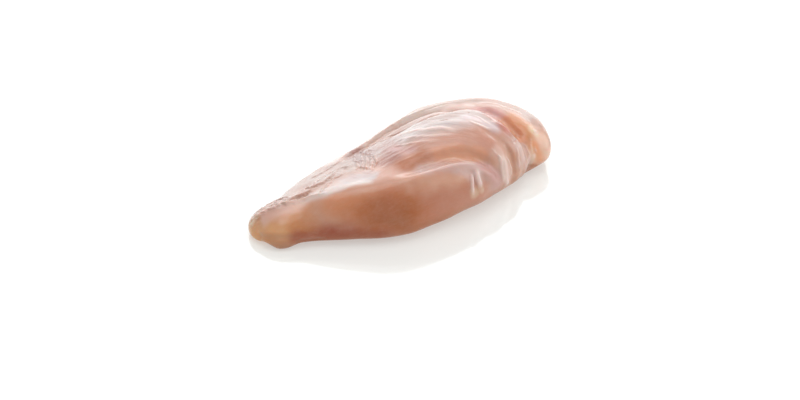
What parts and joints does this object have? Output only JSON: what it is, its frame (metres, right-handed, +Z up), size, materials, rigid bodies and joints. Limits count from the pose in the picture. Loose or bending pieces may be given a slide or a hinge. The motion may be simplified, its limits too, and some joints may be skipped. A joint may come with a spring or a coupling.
{
  "type": "raw chicken breast",
  "caption": "A raw, skinless, boneless chicken breast half with a plump rounded flank, a tapering tail, muscle seams and a rolled shoulder end, resting on its flat underside.",
  "frame": {"origin": "Middle of the bounding box's underside, on the plane the meat rests on.", "axes": "+X runs from the tapering tail to the thick shoulder end, the rounded outer flank faces -Y, the straighter breastbone edge faces +Y, and +Z is up."},
  "size_m": [0.1748, 0.0888, 0.0346],
  "materials": {
    "raw_meat": "satin"
  },
  "bodies": {
    "root": {"breast_meat": "raw_meat"}
  },
  "joints": []
}
